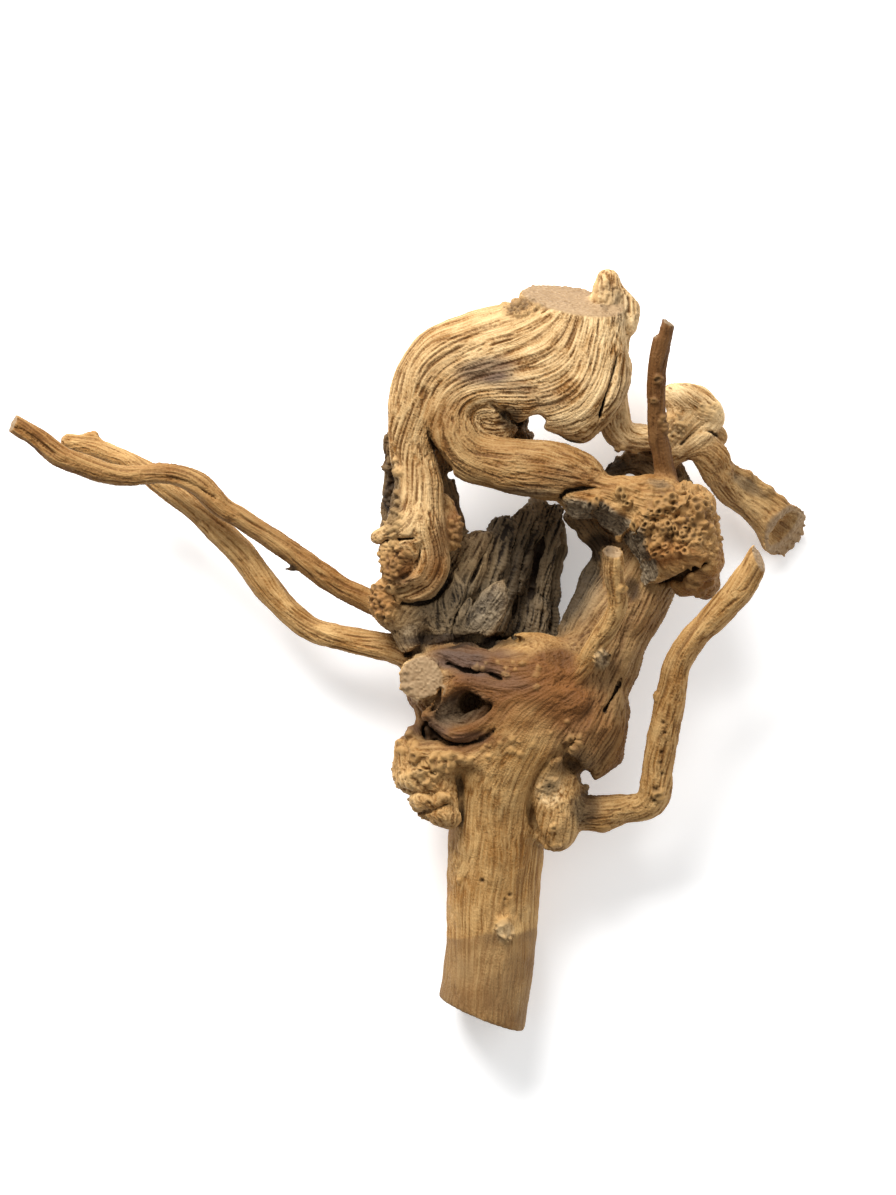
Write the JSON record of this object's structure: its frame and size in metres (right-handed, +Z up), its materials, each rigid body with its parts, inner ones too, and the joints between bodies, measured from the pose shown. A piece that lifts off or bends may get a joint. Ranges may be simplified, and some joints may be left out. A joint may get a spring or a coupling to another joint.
{
  "type": "driftwood",
  "caption": "Twisted piece of weathered driftwood lying on its back, with a sawn trunk, burls, a curled hollow head and long thin twigs.",
  "frame": {"origin": "centre of the bounding box in X and Y, at the level of the surface it lies on", "axes": "+X towards the flared broken limb, away from the two long twigs; +Y from the trunk's sawn foot to the sawn head; +Z up, away from the surface it lies on"},
  "size_m": [0.4759, 0.4599, 0.1186],
  "materials": {
    "wood": "dry, bleached and grooved by weather"
  },
  "bodies": {
    "root": {"driftwood": "wood"}
  },
  "joints": []
}
